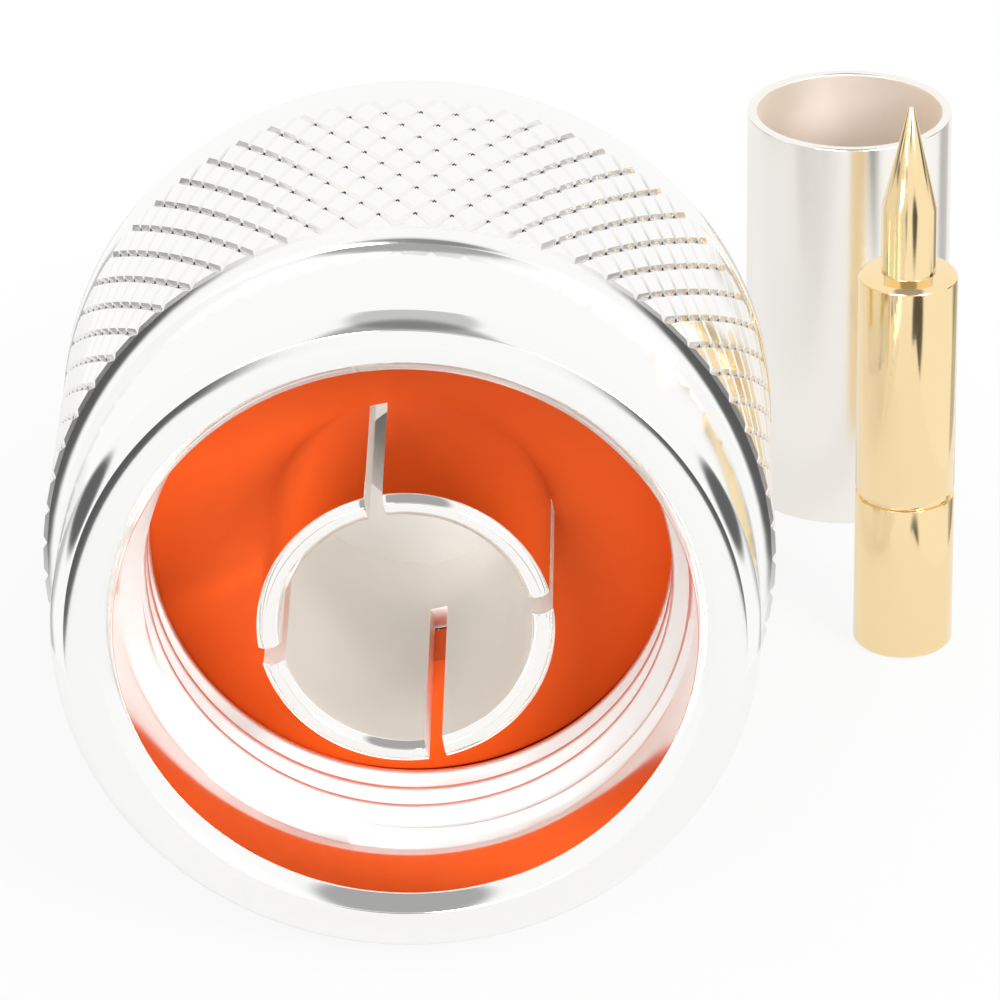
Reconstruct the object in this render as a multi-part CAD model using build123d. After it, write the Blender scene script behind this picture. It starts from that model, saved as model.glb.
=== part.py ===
from build123d import *
import math
import os

# Crimp plug of the 7 mm threaded coaxial family, with a spinning diamond-knurled coupling nut.
# The plug lies on its nut along Y with its mouth toward -Y. Its loose centre pin and crimp
# ferrule stand beside it. The origin is the centre of the mouth, and +Z is up. Millimetres.

# Coupling nut inside, with depths measured back from the mating face
THREAD_CREST_R = 7.42   # crest of the 5/8-24 internal thread
ENTRANCE_RISE = 0.7     # plain entrance outside the thread's crest
THREAD_DEPTH = 6.6      # mating face to the last turn
MOUTH_CHAMFER = 0.43
ENTRANCE_DEPTH = 3.0    # mating face to the first turn
THRUST_GAP = 0.3        # nut's inner shoulder to the body flange

# Coupling nut outside
NUT_LENGTH = 15.8
NUT_WALL = 1.75         # collar's wall round the plain entrance
FACE_BEVEL_RISE = 0.37
FACE_BEVEL_LENGTH = 0.6
COLLAR_LENGTH = 5.0     # mating face to the runout groove
RUNOUT_WIDTH = 0.25
RUNOUT_DEPTH = 0.15
KNURL_RISE = 0.48       # knurl's crests above the collar
KNURL_DEPTH = 0.3
KNURL_PITCH = 1.03      # round the nut, from crest to crest
KNURL_ANGLE = 30.0      # degrees between a groove and the axis
LAND_RISE = 0.02        # smooth rear land above the crests
LAND_LENGTH = 1.2
REAR_CHAMFER = 0.4

# Gasket and body shell
GASKET_FRONT = 6.9
GASKET_THICK = 2.0
GASKET_GRIP = 0.18      # gasket's edge outside the thread's crest
GASKET_CLEARANCE = 0.1  # gasket round the sleeve
FLANGE_OVERLAP = 0.53   # flange's edge outside the thread's crest
FLANGE_THICK = 1.7
FLANGE_STEP = 1.25      # flange's edge outside the journal that the nut turns on
SPIN_CLEARANCE = 0.05   # radial, nut on flange and journal
BARREL_GAP = 0.4        # nut's rear face to the wrench barrel
BARREL_RISE = 0.2       # barrel outside the journal
BARREL_CHAMFER = 0.5
FLAT_DEPTH = 0.9        # each of the two wrench flats
FLAT_MARGIN = 0.9       # round barrel at each end of the flats

# Crimp neck, pressed into the barrel's rear
NECK_HEAD_LENGTH = 1.6
NECK_HEAD_WALL = 2.9
NECK_WALL = 0.45
NECK_LENGTH = 11.5
NECK_CHAMFER = 0.15
BOSS_RISE = 0.4         # stop that stands out past the ferrule
BOSS_LENGTH = 1.3
CABLE_CLEARANCE = 0.2   # neck's bore outside the centre pin

# Split retaining ring, held half in the body and half in the nut
RING_OFFSET = 1.85      # flange to the ring
RING_THICK = 0.9
RING_WIDTH = 1.35       # radial
RING_SPLIT = 1.6        # opening of the ring
RING_FLOAT = 0.05       # clearance in the body's groove
GROOVE_DEPTH = 0.8      # in the journal
NUT_GROOVE_CLEARANCE = 0.2

# Slotted outer contact and insulator
SLEEVE_R = 4.15
SLEEVE_WALL = 0.65
SLEEVE_TIP = 0.7        # mating face to the sleeve's tip
SLEEVE_TIP_CHAMFER = 0.2
SLEEVE_SEAT = 6.1       # length held in the body behind the gasket's seat
SLOT_COUNT = 4
SLOT_WIDTH = 0.5
SLOT_LENGTH = 8.3
SLOT_TURN = 12.0        # degrees, seen from the mouth
PRESS_CLEARANCE = 0.02
INSULATOR_FRONT = 12.1
INSULATOR_LENGTH = 8.5
INSULATOR_CLEARANCE = 0.05
RECESS_STEP = 0.6       # insulator's rear recess outside the neck's bore
RECESS_DEPTH = 1.5
PIN_CLEARANCE = 0.05    # insulator's bore round the centre pin

# Loose centre pin
PIN_BODY_R = 1.5
PIN_BODY_LENGTH = 12.3
PIN_SHAFT_R = 0.825
PIN_SHAFT_LENGTH = 2.1
PIN_POINT_LENGTH = 3.2
PIN_POINT_R = 0.08
PIN_CHAMFER = 0.15
PIN_MARK_WIDTH = 0.25   # turned line above the crimp barrel
PIN_MARK_DEPTH = 0.1
CRIMP_HOLE_R = 0.55
CRIMP_HOLE_DEPTH = 5.0
PIN_ASIDE = 4.22        # pin's axis beyond the knurl
PIN_Y = 20.82

# Loose crimp ferrule
BRAID_ROOM = 0.725      # ferrule's bore outside the neck
FERRULE_WALL = 0.3
FERRULE_LENGTH = 12.8
FERRULE_EDGE = 0.08
FERRULE_ASIDE = 2.75    # ferrule's axis beyond the knurl
FERRULE_Y = 31.95

# Places and radii that follow from the sizes above
MOUTH_R = THREAD_CREST_R + ENTRANCE_RISE
COLLAR_R = MOUTH_R + NUT_WALL
KNURL_R = COLLAR_R + KNURL_RISE
LAND_R = KNURL_R + LAND_RISE
KNURL_Y = COLLAR_LENGTH + RUNOUT_WIDTH
LAND_Y = NUT_LENGTH - REAR_CHAMFER - LAND_LENGTH
FLOOR_Z = -LAND_R
SEAT_Y = GASKET_FRONT + GASKET_THICK
FLANGE_R = THREAD_CREST_R + FLANGE_OVERLAP
FLANGE_BACK = SEAT_Y + FLANGE_THICK
JOURNAL_R = FLANGE_R - FLANGE_STEP
RING_Y = FLANGE_BACK + RING_OFFSET
RING_INNER_R = JOURNAL_R - GROOVE_DEPTH + RING_FLOAT
RING_OUTER_R = RING_INNER_R + RING_WIDTH
SLEEVE_BORE_R = SLEEVE_R - SLEEVE_WALL
SLEEVE_BACK = SEAT_Y + SLEEVE_SEAT
INSULATOR_R = SLEEVE_BORE_R - INSULATOR_CLEARANCE
INSULATOR_BACK = INSULATOR_FRONT + INSULATOR_LENGTH
BARREL_R = JOURNAL_R + BARREL_RISE
BARREL_Y = NUT_LENGTH + BARREL_GAP
BARREL_BACK = INSULATOR_BACK + NECK_HEAD_LENGTH
CABLE_R = PIN_BODY_R + CABLE_CLEARANCE
NECK_HEAD_R = CABLE_R + NECK_HEAD_WALL
NECK_R = CABLE_R + NECK_WALL
NECK_Y = BARREL_BACK + BOSS_LENGTH
TAIL_Y = NECK_Y + NECK_LENGTH
FERRULE_BORE_R = NECK_R + BRAID_ROOM
FERRULE_R = FERRULE_BORE_R + FERRULE_WALL


def turned(corners):
    """Solid of revolution about the plug's axis from (radius, depth) corners."""
    return revolve(make_face(Polyline(*corners, close=True)), Axis.Y)


def turned_upright(outline, x, y):
    """Solid of revolution standing on the floor from an outline of (radius, height)."""
    solid = revolve(make_face(Plane.XZ * outline), Axis.Z)
    return Pos(x, y, FLOOR_Z) * solid


def axis_circle(r, y):
    """Circle about the plug's axis."""
    return Wire(Edge.make_circle(r, Plane((0, y, 0), x_dir=(1, 0, 0), z_dir=(0, -1, 0))))


def diamond_knurl():
    """Faces of the pyramids between two crossing sets of V grooves, and the band's two rims."""
    count = round(2 * math.pi * KNURL_R / KNURL_PITCH)
    half_pitch = KNURL_PITCH / 2 / math.tan(math.radians(KNURL_ANGLE))
    rows = round((LAND_Y - KNURL_Y) / half_pitch)

    def corner(i, row):
        """Crests and groove crossings take turns along each row and from row to row."""
        r = KNURL_R if (i + row) % 2 else KNURL_R - KNURL_DEPTH
        angle = i * math.pi / count
        y = KNURL_Y + row * (LAND_Y - KNURL_Y) / rows
        return (r * math.cos(angle), y, r * math.sin(angle))

    faces = []
    for row in range(rows):
        for i in range(2 * count):
            near, near_next = corner(i, row), corner(i + 1, row)
            far, far_next = corner(i, row + 1), corner(i + 1, row + 1)
            if (i + row) % 2:
                halves = (near, near_next, far), (near_next, far_next, far)
            else:
                halves = (near, near_next, far_next), (near, far_next, far)
            faces += [Face(Wire.make_polygon(half, close=True)) for half in halves]
    rims = [Wire.make_polygon([corner(i, row) for i in range(2 * count)], close=True) for row in (0, rows)]
    return faces, rims


def coupling_nut():
    """Knurled nut: the turned skin from the rear land round to the runout groove, and the knurl."""
    lip_r = JOURNAL_R + SPIN_CLEARANCE
    pocket_r = FLANGE_R + SPIN_CLEARANCE
    pocket_back = FLANGE_BACK + THRUST_GAP
    ring_groove_r = RING_OUTER_R + NUT_GROOVE_CLEARANCE
    ring_groove_back = RING_Y + RING_THICK + 2 * RING_FLOAT
    runout_r = COLLAR_R - RUNOUT_DEPTH
    skin = Polyline(
        (LAND_R, LAND_Y),
        (LAND_R, NUT_LENGTH - REAR_CHAMFER),
        (LAND_R - REAR_CHAMFER, NUT_LENGTH),
        (lip_r, NUT_LENGTH),
        (lip_r, ring_groove_back),
        (ring_groove_r, ring_groove_back),
        (ring_groove_r, RING_Y - RING_FLOAT),
        (lip_r, RING_Y - RING_FLOAT),
        (lip_r, pocket_back),
        (pocket_r, pocket_back),
        (pocket_r, THREAD_DEPTH),
        (THREAD_CREST_R, THREAD_DEPTH),
        (THREAD_CREST_R, ENTRANCE_DEPTH),
        (MOUTH_R, ENTRANCE_DEPTH),
        (MOUTH_R, MOUTH_CHAMFER),
        (MOUTH_R + MOUTH_CHAMFER, 0),
        (COLLAR_R - FACE_BEVEL_RISE, 0),
        (COLLAR_R, FACE_BEVEL_LENGTH),
        (COLLAR_R, COLLAR_LENGTH),
        (runout_r, COLLAR_LENGTH),
        (runout_r, KNURL_Y),
    )
    faces, (front_rim, rear_rim) = diamond_knurl()
    faces.append(Face(front_rim, [axis_circle(runout_r, KNURL_Y)]))
    faces.append(Face(axis_circle(LAND_R, LAND_Y), [rear_rim]))
    for edge in skin.edges():
        faces += Face.revolve(edge, 360, Axis.Y).faces()
    return Solid(Shell(faces))


def body_shell():
    """Body: flange, journal with ring groove, and wrench barrel bored for sleeve and insulator."""
    groove_r = JOURNAL_R - GROOVE_DEPTH
    insulator_bore_r = INSULATOR_R + INSULATOR_CLEARANCE
    sleeve_seat_r = SLEEVE_R + PRESS_CLEARANCE
    head_seat_r = NECK_HEAD_R + PRESS_CLEARANCE
    shell = turned([
        (FLANGE_R, SEAT_Y),
        (FLANGE_R, FLANGE_BACK),
        (JOURNAL_R, FLANGE_BACK),
        (JOURNAL_R, RING_Y - RING_FLOAT),
        (groove_r, RING_Y - RING_FLOAT),
        (groove_r, RING_Y + RING_THICK + RING_FLOAT),
        (JOURNAL_R, RING_Y + RING_THICK + RING_FLOAT),
        (JOURNAL_R, BARREL_Y),
        (BARREL_R, BARREL_Y),
        (BARREL_R, BARREL_BACK - BARREL_CHAMFER),
        (BARREL_R - BARREL_CHAMFER, BARREL_BACK),
        (head_seat_r, BARREL_BACK),
        (head_seat_r, INSULATOR_BACK),
        (insulator_bore_r, INSULATOR_BACK),
        (insulator_bore_r, SLEEVE_BACK),
        (sleeve_seat_r, SLEEVE_BACK),
        (sleeve_seat_r, SEAT_Y),
    ])
    flat_length = BARREL_BACK - BARREL_Y - 2 * FLAT_MARGIN
    cutter = Box(2 * BARREL_R, flat_length, 2 * FLAT_DEPTH)
    for side in (-1, 1):
        shell -= Pos(0, BARREL_Y + FLAT_MARGIN + flat_length / 2, side * BARREL_R) * cutter
    return shell


def crimp_neck():
    """Neck with its head and the ferrule's stop."""
    return turned([
        (CABLE_R, INSULATOR_BACK),
        (NECK_HEAD_R, INSULATOR_BACK),
        (NECK_HEAD_R, BARREL_BACK),
        (FERRULE_R + BOSS_RISE, BARREL_BACK),
        (FERRULE_R + BOSS_RISE, NECK_Y),
        (NECK_R, NECK_Y),
        (NECK_R, TAIL_Y - NECK_CHAMFER),
        (NECK_R - NECK_CHAMFER, TAIL_Y),
        (CABLE_R, TAIL_Y),
    ])


def contact_sleeve():
    """Spring sleeve with its slotted fingers and chamfered tip."""
    sleeve = turned([
        (SLEEVE_BORE_R, SLEEVE_TIP + SLEEVE_TIP_CHAMFER),
        (SLEEVE_BORE_R + SLEEVE_TIP_CHAMFER, SLEEVE_TIP),
        (SLEEVE_R - SLEEVE_TIP_CHAMFER, SLEEVE_TIP),
        (SLEEVE_R, SLEEVE_TIP + SLEEVE_TIP_CHAMFER),
        (SLEEVE_R, SLEEVE_BACK),
        (SLEEVE_BORE_R, SLEEVE_BACK),
    ])
    cutter = Box(2 * SLEEVE_WALL, SLOT_LENGTH, SLOT_WIDTH)
    slot = Pos((SLEEVE_R + SLEEVE_BORE_R) / 2, SLEEVE_TIP + SLOT_LENGTH / 2, 0) * cutter
    for k in range(SLOT_COUNT):
        sleeve -= Rot(0, k * 360 / SLOT_COUNT - SLOT_TURN, 0) * slot
    return sleeve


def gasket():
    """Flat silicone gasket that the mating jack's rim presses on the flange."""
    inner_r = SLEEVE_R + GASKET_CLEARANCE
    outer_r = THREAD_CREST_R + GASKET_GRIP
    return turned([
        (inner_r, GASKET_FRONT),
        (outer_r, GASKET_FRONT),
        (outer_r, SEAT_Y),
        (inner_r, SEAT_Y),
    ])


def retaining_ring():
    """Split spring ring with its opening at the top."""
    ring = turned([
        (RING_INNER_R, RING_Y),
        (RING_OUTER_R, RING_Y),
        (RING_OUTER_R, RING_Y + RING_THICK),
        (RING_INNER_R, RING_Y + RING_THICK),
    ])
    middle_r = (RING_INNER_R + RING_OUTER_R) / 2
    opening = Box(RING_SPLIT, 2 * RING_THICK, 2 * RING_WIDTH)
    return ring - Pos(0, RING_Y + RING_THICK / 2, middle_r) * opening


def insulator():
    """Insulating bead with a bore for the centre pin's body and a recess for the cable's end."""
    bore_r = PIN_BODY_R + PIN_CLEARANCE
    recess_r = CABLE_R + RECESS_STEP
    return turned([
        (bore_r, INSULATOR_FRONT),
        (INSULATOR_R, INSULATOR_FRONT),
        (INSULATOR_R, INSULATOR_BACK),
        (recess_r, INSULATOR_BACK),
        (recess_r, INSULATOR_BACK - RECESS_DEPTH),
        (bore_r, INSULATOR_BACK - RECESS_DEPTH),
    ])


def centre_pin():
    """Pin on its crimp end: barrel with a drilled hole, turned line, shoulder, shaft and point."""
    point_z = PIN_BODY_LENGTH + PIN_SHAFT_LENGTH
    top_z = point_z + PIN_POINT_LENGTH
    mark_r = PIN_BODY_R - PIN_MARK_DEPTH
    mark_top = CRIMP_HOLE_DEPTH + PIN_MARK_WIDTH
    outline = Polyline(
        (0, CRIMP_HOLE_DEPTH),
        (CRIMP_HOLE_R, CRIMP_HOLE_DEPTH - CRIMP_HOLE_R),
        (CRIMP_HOLE_R, 0),
        (PIN_BODY_R - PIN_CHAMFER, 0),
        (PIN_BODY_R, PIN_CHAMFER),
        (PIN_BODY_R, CRIMP_HOLE_DEPTH),
        (mark_r, CRIMP_HOLE_DEPTH),
        (mark_r, mark_top),
        (PIN_BODY_R, mark_top),
        (PIN_BODY_R, PIN_BODY_LENGTH - PIN_CHAMFER),
        (PIN_BODY_R - PIN_CHAMFER, PIN_BODY_LENGTH),
        (PIN_SHAFT_R, PIN_BODY_LENGTH),
        (PIN_SHAFT_R, point_z),
        (PIN_POINT_R, top_z),
        (0, top_z),
        close=True,
    )
    return turned_upright(outline, KNURL_R + PIN_ASIDE, PIN_Y)


def crimp_ferrule():
    """Plain tube with broken edges, standing on one end."""
    outline = Polyline(
        (FERRULE_BORE_R + FERRULE_EDGE, 0),
        (FERRULE_R - FERRULE_EDGE, 0),
        (FERRULE_R, FERRULE_EDGE),
        (FERRULE_R, FERRULE_LENGTH - FERRULE_EDGE),
        (FERRULE_R - FERRULE_EDGE, FERRULE_LENGTH),
        (FERRULE_BORE_R + FERRULE_EDGE, FERRULE_LENGTH),
        (FERRULE_BORE_R, FERRULE_LENGTH - FERRULE_EDGE),
        (FERRULE_BORE_R, FERRULE_EDGE),
        close=True,
    )
    return turned_upright(outline, KNURL_R + FERRULE_ASIDE, FERRULE_Y)


PIECES = {
    "coupling_nut": coupling_nut,
    "body_shell": body_shell,
    "crimp_neck": crimp_neck,
    "contact_sleeve": contact_sleeve,
    "gasket": gasket,
    "retaining_ring": retaining_ring,
    "insulator": insulator,
    "centre_pin": centre_pin,
    "crimp_ferrule": crimp_ferrule,
}

os.makedirs("parts", exist_ok=True)
for name, make in PIECES.items():
    export_step(make(), "parts/" + name + ".step")
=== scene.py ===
import math

import bmesh
import bpy
from mathutils import Matrix, Vector


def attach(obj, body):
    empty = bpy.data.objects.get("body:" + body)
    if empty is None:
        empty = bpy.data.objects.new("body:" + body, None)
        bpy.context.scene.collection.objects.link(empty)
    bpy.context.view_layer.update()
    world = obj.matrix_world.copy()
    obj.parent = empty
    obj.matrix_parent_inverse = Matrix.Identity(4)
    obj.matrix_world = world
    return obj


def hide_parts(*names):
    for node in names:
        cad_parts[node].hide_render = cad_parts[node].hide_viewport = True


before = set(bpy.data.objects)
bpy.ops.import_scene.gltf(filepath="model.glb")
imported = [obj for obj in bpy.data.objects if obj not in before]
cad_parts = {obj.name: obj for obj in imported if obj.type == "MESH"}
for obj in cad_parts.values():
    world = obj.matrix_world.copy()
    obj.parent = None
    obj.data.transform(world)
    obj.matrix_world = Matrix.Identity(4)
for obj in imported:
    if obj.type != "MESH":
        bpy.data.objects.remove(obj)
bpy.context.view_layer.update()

# Coupling nut: turned from brass bar with a 5/8-24 thread, rolled with a diamond knurl between
# its collar and its smooth rear land, and plated bright. It spins on the body's flange and journal.
MM = 0.001
STEPS = 252                # flats in a full turn
PITCH = 25.4 / 24
THREAD_CREST_R = 7.42
BORE_R = 8.12              # smooth entrance in front of the thread
THREAD_FRONT, THREAD_BACK = 3.0, 6.8
THREAD_START, THREAD_TURNS = 1.9, 6     # of the helix, before its two ends are cut off
THREAD_MARGIN = 0.1        # helix left ahead of the thread's front
THREAD_SINK = 0.05         # how far the helix's ends go into the bore's wall
KNURL_FRONT, KNURL_BACK = 5.25, 14.2
KNURL_CREST_R = 10.35
KNURL_GROOVE = 0.11        # depth and half width of each rolled groove
KNURL_PIT = 0.09           # hole where grooves cross
KNURL_RIM = 0.02           # from the band's front to its first tops
KNURL_COUNT = 63           # diamonds round the nut
KNURL_ROWS = 10            # half diamonds along it
# Radius and depth of the turned surfaces: rear land, bore from behind, mouth, collar and its groove.
NUT_SKIN = [
    (10.37, KNURL_BACK + 0.3), (10.37, 15.4), (9.97, 15.8), (6.75, 15.8), (6.75, 13.45), (7.5, 13.45),
    (7.5, 12.4), (6.75, 12.4), (6.75, 10.9), (8.0, 10.9), (8.0, 6.9), (BORE_R, THREAD_BACK), (BORE_R, 0.43),
    (8.55, 0), (9.5, 0), (9.87, 0.6), (9.87, 5.0), (9.72, 5.0), (9.72, 5.10), (9.80, 5.14),
    (9.92, 5.20),
]


def turn(bm, outline, closed=True, turns=1.0, lead=0.0):
    """Turns an outline of (radius, depth) in mm about the plug's axis, as a helix if it has a lead."""
    verts = [bm.verts.new((r * MM, y * MM, 0)) for r, y in outline]
    ends = verts[1:] + verts[:1] if closed else verts[1:]
    edges = [bm.edges.new(pair) for pair in zip(verts, ends)]
    bmesh.ops.spin(bm, geom=verts + edges, cent=(0, 0, 0), axis=(0, 1, 0), angle=math.tau * turns,
                   steps=round(STEPS * turns), dvec=(0, lead * MM / STEPS, 0), use_merge=not lead)


def break_edges(bm, width, segments=2, angle=25, only=None):
    """Rounds the edges sharper than an angle to a small radius in mm."""
    bmesh.ops.recalc_face_normals(bm, faces=bm.faces)
    edges = [e for e in bm.edges if e.is_manifold and e.calc_face_angle() > math.radians(angle)
             and (only is None or only(e))]
    bmesh.ops.bevel(bm, geom=edges, offset=width * MM, offset_type="OFFSET", affect="EDGES",
                    segments=segments, profile=0.5, material=-1, clamp_overlap=True)


def finish_piece(name, bm, material, body, node, sharp=35):
    """Makes the object, shades it and puts it in the place of its CAD node."""
    bmesh.ops.remove_doubles(bm, verts=bm.verts, dist=1e-7)
    bmesh.ops.recalc_face_normals(bm, faces=bm.faces)
    mesh = bpy.data.meshes.new(name)
    bm.to_mesh(mesh)
    bm.free()
    mesh.shade_smooth()
    mesh.set_sharp_from_angle(angle=math.radians(sharp))
    mesh.materials.append(material)
    piece = bpy.data.objects.new(name, mesh)
    bpy.context.scene.collection.objects.link(piece)
    weighted = piece.modifiers.new("Weighted normals", "WEIGHTED_NORMAL")
    weighted.keep_sharp = True
    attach(piece, body)
    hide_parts(node)
    return piece


def linear(code):
    """Linear colour of an sRGB hex value."""
    parts = [int(code[i:i + 2], 16) / 255 for i in (0, 2, 4)]
    return [c / 12.92 if c <= 0.04045 else ((c + 0.055) / 1.055) ** 2.4 for c in parts] + [1]


def add_node(tree, kind, links=None, values=None, **settings):
    """Adds a node with its settings, its values and the sockets that feed its inputs."""
    made = tree.nodes.new(kind)
    for key, value in settings.items():
        setattr(made, key, value)
    for key, value in (values or {}).items():
        made.inputs[key].default_value = value
    for key, socket in (links or {}).items():
        tree.links.new(socket, made.inputs[key])
    return made


def empty_finish(name):
    """A new material and its node tree, with no nodes yet."""
    material = bpy.data.materials.new(name)
    material.use_nodes = True
    material.node_tree.nodes.clear()
    return material, material.node_tree


def turned_metal(name, code, roughness, line_mm, line_depth, foot=None):
    """Plated metal with the circular lines of the lathe tool. foot is where an upright piece stands."""
    material, tree = empty_finish(name)
    place = add_node(tree, "ShaderNodeTexCoord").outputs["Object"]
    if foot:
        place = add_node(tree, "ShaderNodeMapping", {"Vector": place}, {
            "Location": (-foot[0] * MM, 0, foot[1] * MM), "Rotation": (math.radians(-90), 0, 0),
        }).outputs["Vector"]
    axes = add_node(tree, "ShaderNodeSeparateXYZ", {0: place})
    across = add_node(tree, "ShaderNodeCombineXYZ", {"X": axes.outputs["X"], "Y": axes.outputs["Z"]})
    radius = add_node(tree, "ShaderNodeVectorMath", {0: across.outputs[0]}, operation="LENGTH")
    section = add_node(tree, "ShaderNodeCombineXYZ", {
        "X": radius.outputs["Value"], "Y": axes.outputs["Y"],
    })
    lines = add_node(tree, "ShaderNodeTexNoise", {"Vector": section.outputs[0]}, {
        "Scale": 1 / (line_mm * MM), "Detail": 2.0, "Roughness": 0.6,
    }, noise_dimensions="2D")
    patches = add_node(tree, "ShaderNodeTexNoise", {"Vector": place}, {
        "Scale": 1 / (3.0 * MM), "Detail": 2.0,
    })
    rough = add_node(tree, "ShaderNodeMapRange", {"Value": patches.outputs[0]}, {
        "From Min": 0.3, "From Max": 0.7, "To Min": roughness * 0.85, "To Max": roughness * 1.15,
    })
    bump = add_node(tree, "ShaderNodeBump", {"Height": lines.outputs[0]}, {
        "Strength": 1.0, "Distance": line_depth * MM,
    })
    shader = add_node(tree, "ShaderNodeBsdfPrincipled", {
        "Roughness": rough.outputs[0], "Normal": bump.outputs[0],
    }, {"Base Color": linear(code), "Metallic": 1.0})
    add_node(tree, "ShaderNodeOutputMaterial", {"Surface": shader.outputs[0]})
    return material


# Bright white plating over turned brass: nearly a mirror, faintly lined round the axis.
nut_plating = turned_metal("bright_plating_on_turned_brass", "FAFAF9", 0.09, 0.08, 0.0001)

# The same plating where the knurling rolls pressed it, rougher in the grooves. The grooves' colour is a touch
# darker and the pits' colour is dark, both as painted shade.
groove_plating = turned_metal("plating_in_rolled_grooves", "F8F6F3", 0.22, 0.08, 0.0002)
pit_painted_shade = turned_metal("painted_shade_in_knurl_pits", "625C55", 0.50, 0.08, 0.0002)

# The same plating on the cut thread, which is left satin by the tap.
thread_plating = turned_metal("satin_plating_on_cut_thread", "F8F8F7", 0.42, 0.08, 0.0004)

# The knurl starts as a grid that is bent round the band, its corners in turn crossings of two
# grooves and middles of diamonds. With the crossings joined and the middles gone, diamonds are left.
nut = bmesh.new()
bmesh.ops.create_grid(nut, x_segments=2 * KNURL_COUNT, y_segments=KNURL_ROWS, size=0.5)
crossings, middles = [], []
for v in nut.verts:
    i, row = round((v.co.x + 0.5) * 2 * KNURL_COUNT), round((v.co.y + 0.5) * KNURL_ROWS)
    (middles if (i + row) % 2 else crossings).append(v)
    r, angle = KNURL_CREST_R - KNURL_GROOVE, i * math.pi / KNURL_COUNT
    y = KNURL_FRONT + row * (KNURL_BACK - KNURL_FRONT) / KNURL_ROWS
    v.co = Vector((r * math.cos(angle), y, -r * math.sin(angle))) * MM
bmesh.ops.connect_verts(nut, verts=crossings)
bmesh.ops.remove_doubles(nut, verts=nut.verts, dist=1e-6)
bmesh.ops.dissolve_verts(nut, verts=[v for v in middles if v.is_valid])
bmesh.ops.recalc_face_normals(nut, faces=nut.faces)
if nut.faces[0].normal.dot(nut.faces[0].calc_center_median()) < 0:
    bmesh.ops.reverse_faces(nut, faces=nut.faces)

# Each diamond's flat top is inset and raised, which leaves the grooves between them. Where two
# grooves cross, a pit is sunk.
tops = nut.faces[:]
bmesh.ops.inset_individual(nut, faces=tops, thickness=KNURL_GROOVE * MM, depth=KNURL_GROOVE * MM,
                           use_even_offset=True)
bmesh.ops.poke(nut, faces=tops)
for v in nut.verts:
    r = v.co.xz.length / MM
    if r > KNURL_CREST_R - KNURL_GROOVE / 2:
        y = min(max(v.co.y / MM, KNURL_FRONT), KNURL_BACK)
        y = KNURL_FRONT + KNURL_RIM if y < KNURL_FRONT + 1.2 * KNURL_GROOVE else y
        v.co = Vector((v.co.x * KNURL_CREST_R / r, y * MM, v.co.z * KNURL_CREST_R / r))
# Faces below the tops take the groove plating, whose slightly darker colour is painted shade.
for f in nut.faces:
    if min(v.co.xz.length for v in f.verts) < (KNURL_CREST_R - KNURL_GROOVE / 2) * MM:
        f.material_index = 1
pits = [v for v in crossings if v.is_valid and not v.is_boundary]
pits = bmesh.ops.bevel(nut, geom=pits, offset=KNURL_PIT * MM, offset_type="OFFSET", affect="VERTICES",
                       segments=1, profile=0.5, material=-1)["faces"]
# The sunk pits take the dark plating, which is painted shade.
for f in bmesh.ops.poke(nut, faces=pits, offset=-KNURL_PIT * MM)["faces"]:
    f.material_index = 2

# The turned surfaces are joined to the knurl's front and rear rims.
knurl = set(nut.faces)
turn(nut, NUT_SKIN, closed=False)
break_edges(nut, 0.04, only=lambda e: knurl.isdisjoint(e.link_faces))
for near, far in ((KNURL_FRONT - 0.25, KNURL_FRONT + 0.15), (KNURL_BACK - 0.2, KNURL_BACK + 0.4)):
    rim = [e for e in nut.edges if e.is_boundary and all(near < v.co.y / MM < far for v in e.verts)]
    bmesh.ops.bridge_loops(nut, edges=rim)

# One turn of the thread: radius and distance along the axis. Its front runs out into the bore's
# wall, and a wall closes it behind.
THREAD_FORM = [
    (7.50, 0), (7.44, 0.06), (THREAD_CREST_R, 0.13), (7.44, 0.20), (7.50, 0.26), (7.88, 0.50),
    (7.94, 0.59), (7.94, 0.73), (7.88, 0.82), (7.50, PITCH),
]
thread = bmesh.new()
turn(thread, [(r, THREAD_START + y) for r, y in THREAD_FORM], closed=False, turns=THREAD_TURNS,
     lead=PITCH)
bmesh.ops.remove_doubles(thread, verts=thread.verts, dist=1e-6)
for cut, side in ((THREAD_FRONT - THREAD_MARGIN, -1), (THREAD_BACK, 1)):
    bmesh.ops.bisect_plane(thread, geom=thread.verts[:] + thread.edges[:] + thread.faces[:],
                           plane_co=(0, cut * MM, 0), plane_no=(0, side, 0), clear_outer=True)
rim = [e for e in thread.edges if e.is_boundary and e.verts[0].co.y > (THREAD_BACK - 0.01) * MM]
wall = bmesh.ops.extrude_edge_only(thread, edges=rim)["geom"]
wall = [g for g in wall if isinstance(g, bmesh.types.BMVert)]
for v in thread.verts:
    r, y = v.co.xz.length / MM, v.co.y / MM
    wanted = BORE_R + THREAD_SINK
    if v not in wall:
        wanted = max(r, wanted - max(0, y - THREAD_FRONT))
    v.co.x, v.co.z = v.co.x * wanted / r, v.co.z * wanted / r
for f in thread.faces:
    f.material_index = 3
thread_mesh = bpy.data.meshes.new("thread")
thread.to_mesh(thread_mesh)
thread.free()
nut.from_mesh(thread_mesh)
bpy.data.meshes.remove(thread_mesh)
piece = finish_piece("coupling_nut_turned", nut, nut_plating, "nut", "coupling_nut", sharp=32)
for plating in (groove_plating, pit_painted_shade, thread_plating):
    piece.data.materials.append(plating)

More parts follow.
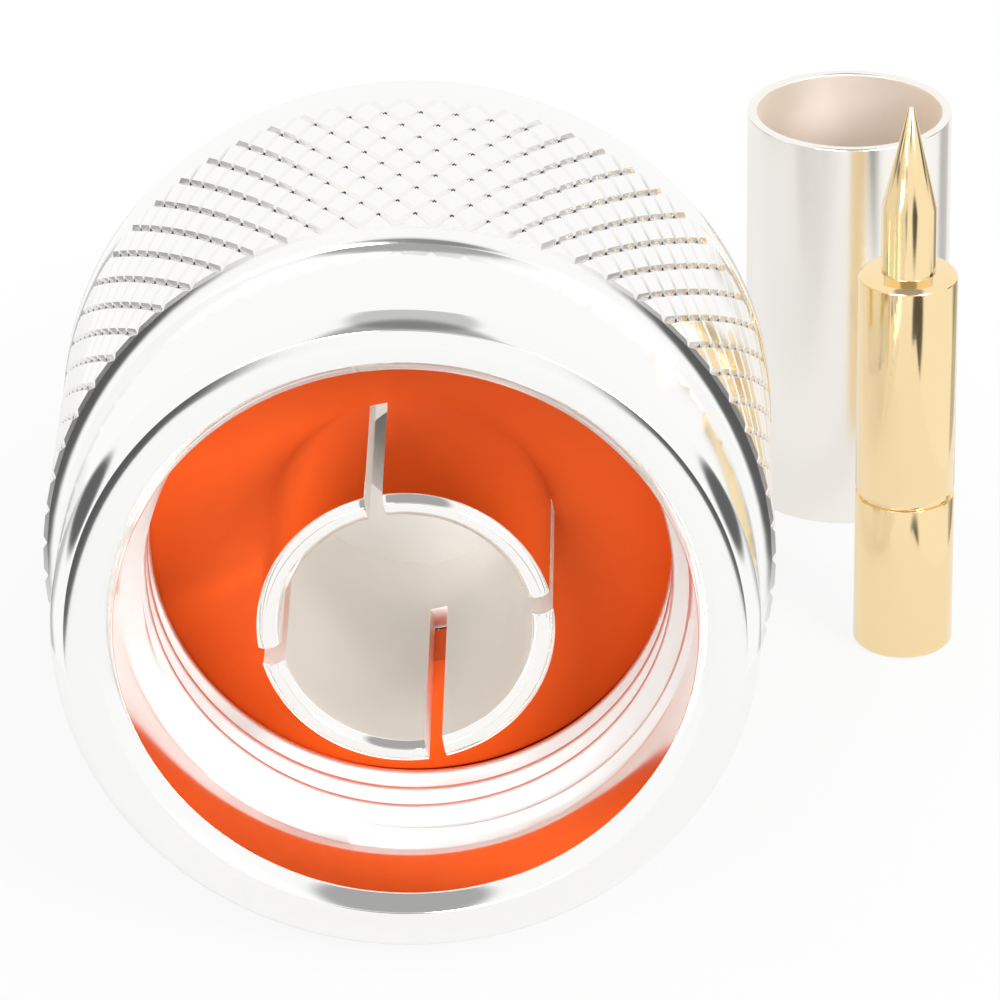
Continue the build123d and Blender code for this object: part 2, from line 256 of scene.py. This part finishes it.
# Contact sleeve: turned from spring bronze, slotted into four fingers with a thin saw and plated
# mirror-bright. It is pressed into the body and makes the outer contact.
SLEEVE_R, SLEEVE_BORE_R = 4.15, 3.5
SLEEVE_FRONT, SLEEVE_BACK = 0.7, 15.0
SLEEVE_STEPS = 180
TIP_CHAMFER = 0.2
SLOT_END = 9.0             # depth of the slots' ends
SLOT_HALF = 0.25           # half of a slot's width
SLOT_TURN = 12.0           # degrees that the slots are turned
SLOT_SIDE = math.radians(4)     # where the points lie that are moved to a slot's sides
SAWN_FRONT, SAWN_BACK = SLEEVE_FRONT + 0.3, 10.0    # between these depths the sawn sides are satin
sleeve_plating = turned_metal("mirror_plating_on_spring_bronze", "FBF9F6", 0.05, 0.10, 0.0001)

# The boring tool and the saw leave their faces satin, so they only glow with the light in the mouth.
bored_plating = turned_metal("satin_plating_in_the_bore", "FFFDFA", 0.48, 0.10, 0.0004)

# It starts as a flat ring at the depth of the slots' ends, whose points beside each slot are moved
# to the slot's sides. The whole ring is drawn back, and its parts between the slots forward.
sleeve = bmesh.new()
ring = [sleeve.verts.new((r * MM, SLOT_END * MM, 0)) for r in (SLEEVE_BORE_R, SLEEVE_R)]
ring.append(sleeve.edges.new(ring))
bmesh.ops.spin(sleeve, geom=ring, cent=(0, 0, 0), axis=(0, 1, 0), angle=math.tau,
               steps=SLEEVE_STEPS, use_merge=True)


def from_slot(v):
    """A point's radius, its angle, and its angle off the middle of the nearest slot."""
    r, angle = v.co.xz.length, math.atan2(v.co.z, v.co.x)
    off = (angle - math.radians(SLOT_TURN) + math.pi / 4) % (math.pi / 2) - math.pi / 4
    return r, angle, off


for v in sleeve.verts:
    r, angle, off = from_slot(v)
    if abs(abs(off) - SLOT_SIDE) < math.radians(0.5):
        turned = angle - off + math.copysign(math.asin(SLOT_HALF * MM / r), off)
        v.co.x, v.co.z = r * math.cos(turned), r * math.sin(turned)
back = bmesh.ops.extrude_face_region(sleeve, geom=sleeve.faces[:], use_keep_orig=True)["geom"]
bmesh.ops.translate(sleeve, verts=[g for g in back if isinstance(g, bmesh.types.BMVert)],
                    vec=(0, (SLEEVE_BACK - SLOT_END) * MM, 0))
bmesh.ops.recalc_face_normals(sleeve, faces=sleeve.faces)
fingers = [f for f in sleeve.faces if f.normal.y < -0.9
           and sum(abs(from_slot(v)[2]) for v in f.verts) / 4 > SLOT_SIDE]
front = bmesh.ops.extrude_face_region(sleeve, geom=fingers)["geom"]
bmesh.ops.delete(sleeve, geom=[f for f in fingers if f.is_valid], context="FACES_ONLY")
tips = [g for g in front if isinstance(g, bmesh.types.BMVert)]
bmesh.ops.translate(sleeve, verts=tips, vec=(0, (SLEEVE_FRONT - SLOT_END) * MM, 0))
bmesh.ops.recalc_face_normals(sleeve, faces=sleeve.faces)
tip_set = set(tips)
rims = [e for e in sleeve.edges if set(e.verts) <= tip_set and e.is_manifold and e.calc_face_angle() > 1
        and abs(e.verts[0].co.xz.length - e.verts[1].co.xz.length) < 0.1 * MM]
bmesh.ops.bevel(sleeve, geom=rims, offset=TIP_CHAMFER * MM, offset_type="OFFSET", affect="EDGES",
                segments=1, profile=0.5, material=-1)
break_edges(sleeve, 0.025)
for f in sleeve.faces:
    middle = f.calc_center_median()
    sideways = abs(f.normal.xz.dot(middle.xz.normalized())) < 0.3
    sawn = sideways and SAWN_FRONT < middle.y / MM < SAWN_BACK
    if sawn or middle.xz.length < (SLEEVE_BORE_R + 0.02) * MM:
        f.material_index = 1
piece = finish_piece("contact_sleeve_slotted", sleeve, sleeve_plating, "plug_body", "contact_sleeve")
piece.data.materials.append(bored_plating)

# Gasket: a flat ring moulded in orange silicone that the mating jack's rim presses on. It lies
# on the body's flange round the sleeve, and the thread's last turn keeps it in.
GASKET_HOLE_R, GASKET_R = 4.14, 7.6
GASKET_FRONT, GASKET_BACK = 6.9, 8.9
gasket_outline = [
    (GASKET_HOLE_R, GASKET_FRONT), (GASKET_R, GASKET_FRONT), (GASKET_R, GASKET_BACK),
    (GASKET_HOLE_R, GASKET_BACK),
]
silicone, tree = empty_finish("moulded_orange_silicone")
place = add_node(tree, "ShaderNodeTexCoord").outputs["Object"]
# Fine mould texture of about 0.15 mm and slow cloudy changes of colour.
grain = add_node(tree, "ShaderNodeTexNoise", {"Vector": place}, {"Scale": 1 / (0.15 * MM), "Detail": 3.0})
clouds = add_node(tree, "ShaderNodeTexNoise", {"Vector": place}, {"Scale": 1 / (4.0 * MM), "Detail": 2.0})
tint = add_node(tree, "ShaderNodeMix", {"Factor": clouds.outputs[0]}, data_type="RGBA")
tint.inputs["A"].default_value = linear("F46019")
tint.inputs["B"].default_value = linear("EE5817")
bump = add_node(tree, "ShaderNodeBump", {"Height": grain.outputs[0]}, {"Distance": 0.002 * MM})
shader = add_node(tree, "ShaderNodeBsdfPrincipled", {
    "Base Color": tint.outputs["Result"], "Normal": bump.outputs[0],
}, {"Roughness": 0.55, "Specular IOR Level": 0.2})
add_node(tree, "ShaderNodeOutputMaterial", {"Surface": shader.outputs[0]})

ring = bmesh.new()
turn(ring, gasket_outline)
break_edges(ring, 0.08, segments=3, only=lambda e: e.verts[0].co.xz.length > (GASKET_R - 0.1) * MM)
finish_piece("gasket_moulded", ring, silicone, "plug_body", "gasket")

# Crimp neck: turned from brass with ring serrations that bite the cable's braid under the
# ferrule, and plated. Its head is pressed into the rear of the body.
NECK_R, NECK_BORE_R, NECK_BACK = 2.15, 1.7, 35.0
NECK_CHAMFER = 0.15
HEAD_R, HEAD_FRONT, HEAD_BACK = 4.6, 20.6, 22.2
STOP_R, STOP_BACK = 3.575, 23.5         # the ferrule is pushed up to this step
SERRATION_FRONT, SERRATION_COUNT = 25.0, 12
SERRATION_PITCH, SERRATION_DEPTH = 0.7, 0.12
neck_outline = [
    (NECK_BORE_R, HEAD_FRONT), (HEAD_R, HEAD_FRONT), (HEAD_R, HEAD_BACK), (STOP_R, HEAD_BACK),
    (STOP_R, STOP_BACK), (NECK_R, STOP_BACK),
]
for k in range(SERRATION_COUNT):
    y = SERRATION_FRONT + k * SERRATION_PITCH
    neck_outline += [(NECK_R, y), (NECK_R - SERRATION_DEPTH, y + SERRATION_PITCH / 2)]
neck_outline += [
    (NECK_R, SERRATION_FRONT + SERRATION_COUNT * SERRATION_PITCH), (NECK_R, NECK_BACK - NECK_CHAMFER),
    (NECK_R - NECK_CHAMFER, NECK_BACK), (NECK_BORE_R, NECK_BACK),
]
shell_plating = turned_metal("bright_plating_on_brass_body", "F1F0EE", 0.12, 0.10, 0.0002)

neck = bmesh.new()
turn(neck, neck_outline)
break_edges(neck, 0.03)
finish_piece("crimp_neck_serrated", neck, shell_plating, "plug_body", "crimp_neck")

# Body: turned from brass with a flange behind the gasket, a journal for the nut and a wrench
# barrel with two flats, and plated. Its CAD form stays.
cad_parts["body_shell"].data.materials.clear()
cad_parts["body_shell"].data.materials.append(shell_plating)

# Retaining ring: bent from spring bronze wire of flat section and left bare. It sits half in the
# body's groove and half in the nut's, and keeps the nut on.
spring_bronze = turned_metal("drawn_spring_bronze", "D2B27A", 0.25, 0.15, 0.0003)
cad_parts["retaining_ring"].data.materials.clear()
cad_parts["retaining_ring"].data.materials.append(spring_bronze)

# Insulator: a bead turned from white fluoroplastic, pressed into the body behind the sleeve's
# fingers. It holds the centre pin.
BEAD_R, BEAD_BORE_R = 3.51, 1.55
BEAD_FRONT, BEAD_BACK = 12.1, 20.6
RECESS_R, RECESS_FRONT = 2.3, 19.1      # room for the cable's own insulation
bead_outline = [
    (BEAD_BORE_R, BEAD_FRONT), (BEAD_R, BEAD_FRONT), (BEAD_R, BEAD_BACK), (RECESS_R, BEAD_BACK),
    (RECESS_R, RECESS_FRONT), (BEAD_BORE_R, RECESS_FRONT),
]

# Waxy white, with the softest changes of tint and height, about 0.4 mm wide.
ptfe, tree = empty_finish("turned_white_fluoroplastic")
place = add_node(tree, "ShaderNodeTexCoord").outputs["Object"]
wax = add_node(tree, "ShaderNodeTexNoise", {"Vector": place}, {"Scale": 1 / (0.4 * MM), "Detail": 3.0})
tint = add_node(tree, "ShaderNodeMix", {"Factor": wax.outputs[0]}, data_type="RGBA")
tint.inputs["A"].default_value = linear("FFFDFA")
tint.inputs["B"].default_value = linear("FDFAF6")
bump = add_node(tree, "ShaderNodeBump", {"Height": wax.outputs[0]}, {"Distance": 0.004 * MM})
shader = add_node(tree, "ShaderNodeBsdfPrincipled", {
    "Base Color": tint.outputs["Result"], "Normal": bump.outputs[0],
}, {"Roughness": 0.4})
add_node(tree, "ShaderNodeOutputMaterial", {"Surface": shader.outputs[0]})

bead = bmesh.new()
turn(bead, bead_outline)
break_edges(bead, 0.06, only=lambda e: e.verts[0].co.xz.length < (BEAD_R - 0.1) * MM)
finish_piece("insulator_bead", bead, ptfe, "plug_body", "insulator")

# Centre pin: turned from brass with a conical point, a shaft for the jack's socket and a crimp
# barrel drilled from below, and plated in gold colour. It is loose and stands on its barrel.
FLOOR_Z = -10.37
PIN_X, PIN_Y = 14.57, 20.82
PIN_R, SHAFT_R, POINT_R = 1.5, 0.825, 0.08
BARREL_TOP, POINT_FOOT, PIN_TOP = 12.3, 14.4, 17.6
PIN_CHAMFER = 0.15
HOLE_R, HOLE_TOP = 0.55, 5.0
LINE_R, LINE_FOOT, LINE_TOP = 1.4, 5.0, 5.25    # turned line round the barrel
pin_outline = [
    (0, HOLE_TOP), (HOLE_R, HOLE_TOP - HOLE_R), (HOLE_R, 0), (PIN_R - PIN_CHAMFER, 0),
    (PIN_R, PIN_CHAMFER), (PIN_R, LINE_FOOT), (LINE_R, LINE_FOOT), (LINE_R, LINE_TOP), (PIN_R, LINE_TOP),
    (PIN_R, BARREL_TOP - PIN_CHAMFER), (PIN_R - PIN_CHAMFER, BARREL_TOP), (SHAFT_R, BARREL_TOP),
    (SHAFT_R, POINT_FOOT), (POINT_R, PIN_TOP), (0, PIN_TOP),
]
gold = turned_metal("gold_plating_on_turned_brass", "FBE1B0", 0.10, 0.10, 0.0003, foot=(PIN_X, PIN_Y))


def stand_up(bm, x, y):
    """Stands a piece that was turned about the plug's axis on the floor at x, y."""
    matrix = Matrix.Translation(Vector((x, y, FLOOR_Z)) * MM) @ Matrix.Rotation(math.pi / 2, 4, "X")
    bmesh.ops.transform(bm, matrix=matrix, verts=bm.verts)


pin = bmesh.new()
turn(pin, pin_outline, closed=False)
bmesh.ops.remove_doubles(pin, verts=pin.verts, dist=1e-7)
break_edges(pin, 0.03)
stand_up(pin, PIN_X, PIN_Y)
finish_piece("centre_pin_turned", pin, gold, "plug_body", "centre_pin")

# Crimp ferrule: a length of drawn brass tube with broken edges, plated. It is loose and stands
# on one end behind the pin.
FERRULE_X, FERRULE_Y = 13.1, 31.95
FERRULE_R, FERRULE_BORE_R, FERRULE_TOP = 3.175, 2.875, 12.8
ferrule_outline = [
    (FERRULE_BORE_R, 0), (FERRULE_R, 0), (FERRULE_R, FERRULE_TOP), (FERRULE_BORE_R, FERRULE_TOP),
]
ferrule_plating = turned_metal("bright_plating_on_drawn_tube", "F9F5EF", 0.20, 0.2, 0.0002,
                               foot=(FERRULE_X, FERRULE_Y))
drawn_bore = turned_metal("satin_plating_in_drawn_bore", "FAF3EB", 0.50, 0.2, 0.0004,
                          foot=(FERRULE_X, FERRULE_Y))
ferrule = bmesh.new()
turn(ferrule, ferrule_outline)
break_edges(ferrule, 0.08, segments=3)
for f in ferrule.faces:
    if f.calc_center_median().xz.length < (FERRULE_BORE_R + 0.01) * MM:
        f.material_index = 1
stand_up(ferrule, FERRULE_X, FERRULE_Y)
piece = finish_piece("crimp_ferrule_tube", ferrule, ferrule_plating, "plug_body", "crimp_ferrule")
piece.data.materials.append(drawn_bore)

# The camera stands as in the photograph.
SHEET_WIDTH, SHEET_LENGTH, SHEET_MIDDLE = 48, 200, 90
STRIP_SHARE, STRIP_LENGTH = 0.67, 45    # the narrower strip in front of the mouth
WHITE_HALF_WIDTH, WHITE_HALF_LENGTH, WHITE_MIDDLE = 23.5, 42, 17
OWN_WHITE, MIRRORED_WHITE = 0.86, 0.7   # shares of plain white that the camera and the metal see
paper, tree = empty_finish("white_paper")
ray = add_node(tree, "ShaderNodeLightPath")

# The camera sees the sheet nearly as plain white, and wholly so toward its edges. The metal
# mirrors it a little greyer.
place = add_node(tree, "ShaderNodeTexCoord").outputs["Object"]
place = add_node(tree, "ShaderNodeMapping", {"Vector": place}, {
    "Location": (0, -WHITE_MIDDLE / WHITE_HALF_LENGTH, 0),
    "Scale": (1 / (WHITE_HALF_WIDTH * MM), 1 / (WHITE_HALF_LENGTH * MM), 0),
})
outward = add_node(tree, "ShaderNodeVectorMath", {0: place.outputs[0]}, operation="LENGTH")
own_white = add_node(tree, "ShaderNodeMapRange", {"Value": outward.outputs["Value"]}, {
    "From Min": 0.5, "From Max": 1.0, "To Min": OWN_WHITE, "To Max": 1.0,
})
direct = add_node(tree, "ShaderNodeMath", {
    0: ray.outputs["Is Camera Ray"], 1: own_white.outputs[0],
}, operation="MULTIPLY")
mirrored = add_node(tree, "ShaderNodeMath", {
    0: ray.outputs["Is Glossy Ray"], 1: ray.outputs["Is Transmission Ray"],
}, operation="MAXIMUM")
mirrored = add_node(tree, "ShaderNodeMath", {0: mirrored.outputs[0]}, {1: MIRRORED_WHITE},
                    operation="MULTIPLY")
share = add_node(tree, "ShaderNodeMath", {0: direct.outputs[0], 1: mirrored.outputs[0]}, operation="MAXIMUM")
lit = add_node(tree, "ShaderNodeBsdfDiffuse", values={"Color": linear("D6D6D6")})
white = add_node(tree, "ShaderNodeEmission", values={"Color": (1, 1, 1, 1), "Strength": 1.0})
mixed = add_node(tree, "ShaderNodeMixShader", {0: share.outputs[0], 1: lit.outputs[0], 2: white.outputs[0]})
add_node(tree, "ShaderNodeOutputMaterial", {"Surface": mixed.outputs[0]})
sheet = bmesh.new()
bmesh.ops.create_grid(sheet, x_segments=1, y_segments=1, size=0.5)
bmesh.ops.scale(sheet, vec=(SHEET_WIDTH * MM, SHEET_LENGTH * MM, 1), verts=sheet.verts)
bmesh.ops.translate(sheet, vec=Vector((0, SHEET_MIDDLE, FLOOR_Z)) * MM, verts=sheet.verts)
front_edge = [e for e in sheet.edges if all(v.co.y < 0 for v in e.verts)]
for width, depth in ((STRIP_SHARE, 0), (1, -STRIP_LENGTH)):
    front_edge = bmesh.ops.extrude_edge_only(sheet, edges=front_edge)["geom"]
    corners = [g for g in front_edge if isinstance(g, bmesh.types.BMVert)]
    front_edge = [g for g in front_edge if isinstance(g, bmesh.types.BMEdge)]
    bmesh.ops.scale(sheet, vec=(width, 1, 1), verts=corners)
    bmesh.ops.translate(sheet, vec=(0, depth * MM, 0), verts=corners)
sheet_mesh = bpy.data.meshes.new("white_sheet")
sheet.to_mesh(sheet_mesh)
sheet.free()
sheet_mesh.materials.append(paper)
floor = bpy.data.objects.new("white_sheet", sheet_mesh)
bpy.context.scene.collection.objects.link(floor)

world = bpy.data.worlds.new("light_tent")
bpy.context.scene.world = world
world.use_nodes = True
tree = world.node_tree
tree.nodes.clear()
toward = add_node(tree, "ShaderNodeTexCoord").outputs["Generated"]
# Each entry: direction of a dark place, angles at which it is full and gone, and its brightness.
DARK_PLACES = [
    ((0.0, -0.42, 0.90), 20, 27, 0.40), ((0.02, 0.03, 1.0), 13, 18, 0.58), ((0.0, -0.93, 0.37), 7, 13, 0.25),
    ((0.96, 0.23, 0.0), 8, 13, 0.12), ((-0.96, 0.23, 0.0), 8, 13, 0.12),
    ((0.33, -0.90, -0.28), 9, 14, 0.10), ((-0.33, -0.90, -0.28), 9, 14, 0.10),
    ((0.79, 0.59, -0.17), 10, 15, 0.55), ((-0.79, 0.59, -0.17), 10, 15, 0.55),
    ((0.64, 0.66, -0.39), 9, 14, 0.55), ((-0.64, 0.66, -0.39), 9, 14, 0.55),
    ((-0.45, 0.73, -0.51), 8, 13, 0.55),
]
tent = add_node(tree, "ShaderNodeValue")
tent.outputs[0].default_value = 1.0
tent = tent.outputs[0]
for direction, full, gone, brightness in DARK_PLACES:
    along = add_node(tree, "ShaderNodeVectorMath", {0: toward}, {1: Vector(direction).normalized()},
                     operation="DOT_PRODUCT")
    veil = add_node(tree, "ShaderNodeMapRange", {"Value": along.outputs["Value"]}, {
        "From Min": math.cos(math.radians(gone)), "From Max": math.cos(math.radians(full)),
        "To Min": 1.0, "To Max": brightness,
    }, interpolation_type="SMOOTHSTEP")
    tent = add_node(tree, "ShaderNodeMath", {0: tent, 1: veil.outputs[0]}, operation="MULTIPLY").outputs[0]
tent_light = add_node(tree, "ShaderNodeBackground", {"Strength": tent}, {"Color": (1, 1, 1, 1)})
backdrop = add_node(tree, "ShaderNodeBackground", values={"Color": (1, 1, 1, 1), "Strength": 1.0})
camera_ray = add_node(tree, "ShaderNodeLightPath").outputs["Is Camera Ray"]
sky = add_node(tree, "ShaderNodeMixShader", {0: camera_ray, 1: tent_light.outputs[0], 2: backdrop.outputs[0]})
add_node(tree, "ShaderNodeOutputWorld", {"Surface": sky.outputs[0]})

# Two round soft boxes, right and left of the camera and further back, shine into the mouth.
LAMP_DISTANCE, LAMP_SIZE = 350, 150
for name, direction, watts in (("softbox_right", (0.58, -0.70, 0.42), 0.95),
                               ("softbox_left", (-0.30, -0.83, 0.47), 0.42)):
    lamp_data = bpy.data.lights.new(name, "AREA")
    lamp_data.shape, lamp_data.size, lamp_data.energy = "DISK", LAMP_SIZE * MM, watts
    lamp = bpy.data.objects.new(name, lamp_data)
    lamp.location = Vector(direction) * LAMP_DISTANCE * MM
    lamp.rotation_euler = Vector(direction).to_track_quat("Z", "Y").to_euler()
    bpy.context.scene.collection.objects.link(lamp)

CAMERA_PLACE = (5.86, -197.46, 99.85)
CAMERA_ELEVATION, CAMERA_TURN, CAMERA_ROLL = 25.8, 0.93, -0.404     # degrees
camera_data = bpy.data.cameras.new("camera")
camera_data.lens = 288
camera_data.sensor_width = 36
camera_data.clip_start, camera_data.clip_end = 0.01, 10
camera = bpy.data.objects.new("camera", camera_data)
camera.matrix_world = (
    Matrix.Translation(Vector(CAMERA_PLACE) * MM)
    @ Matrix.Rotation(math.radians(CAMERA_TURN), 4, "Z")
    @ Matrix.Rotation(math.radians(90 - CAMERA_ELEVATION), 4, "X")
    @ Matrix.Rotation(math.radians(CAMERA_ROLL), 4, "Z")
)
bpy.context.scene.collection.objects.link(camera)
bpy.context.scene.camera = camera
bpy.context.scene.view_settings.view_transform = "Standard"

# Light bounces many times between the mirror-bright walls of the mouth, sleeve and ferrule.
bpy.context.scene.cycles.glossy_bounces = 16
bpy.context.scene.cycles.max_bounces = 24
